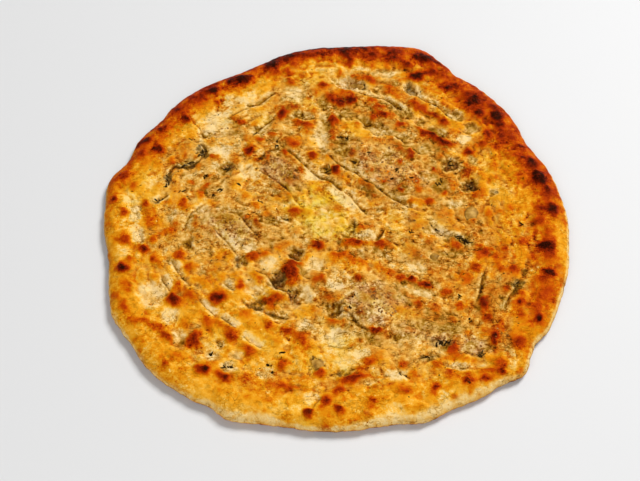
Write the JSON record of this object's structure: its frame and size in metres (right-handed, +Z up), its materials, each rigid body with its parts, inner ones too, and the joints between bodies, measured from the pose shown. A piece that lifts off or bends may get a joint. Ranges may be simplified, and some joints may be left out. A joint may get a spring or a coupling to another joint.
{
  "type": "stuffed naan",
  "caption": "Large round stuffed flatbread with a thick browned edge, pressed furrows, mounds of filling under the dough, charred blisters and bits of herb and onion breaking through.",
  "frame": {"origin": "middle of the flat underside, on the surface that the bread lies on", "axes": "+Z up out of the browned top, +X to the right and +Y away from the viewer, along the bread's width and depth"},
  "size_m": [0.315, 0.302, 0.0118],
  "materials": {
    "crust": "baked dough, golden with brown blisters, charred spots and pale furrows, lightly oiled",
    "herb": "cooked green herb leaf, dull and damp",
    "onion": "soft cooked onion, pale and half clear",
    "filling": "fine cooked mince crumbs, grey brown and moist"
  },
  "bodies": {
    "root": {"naan": "crust"}
  },
  "joints": []
}
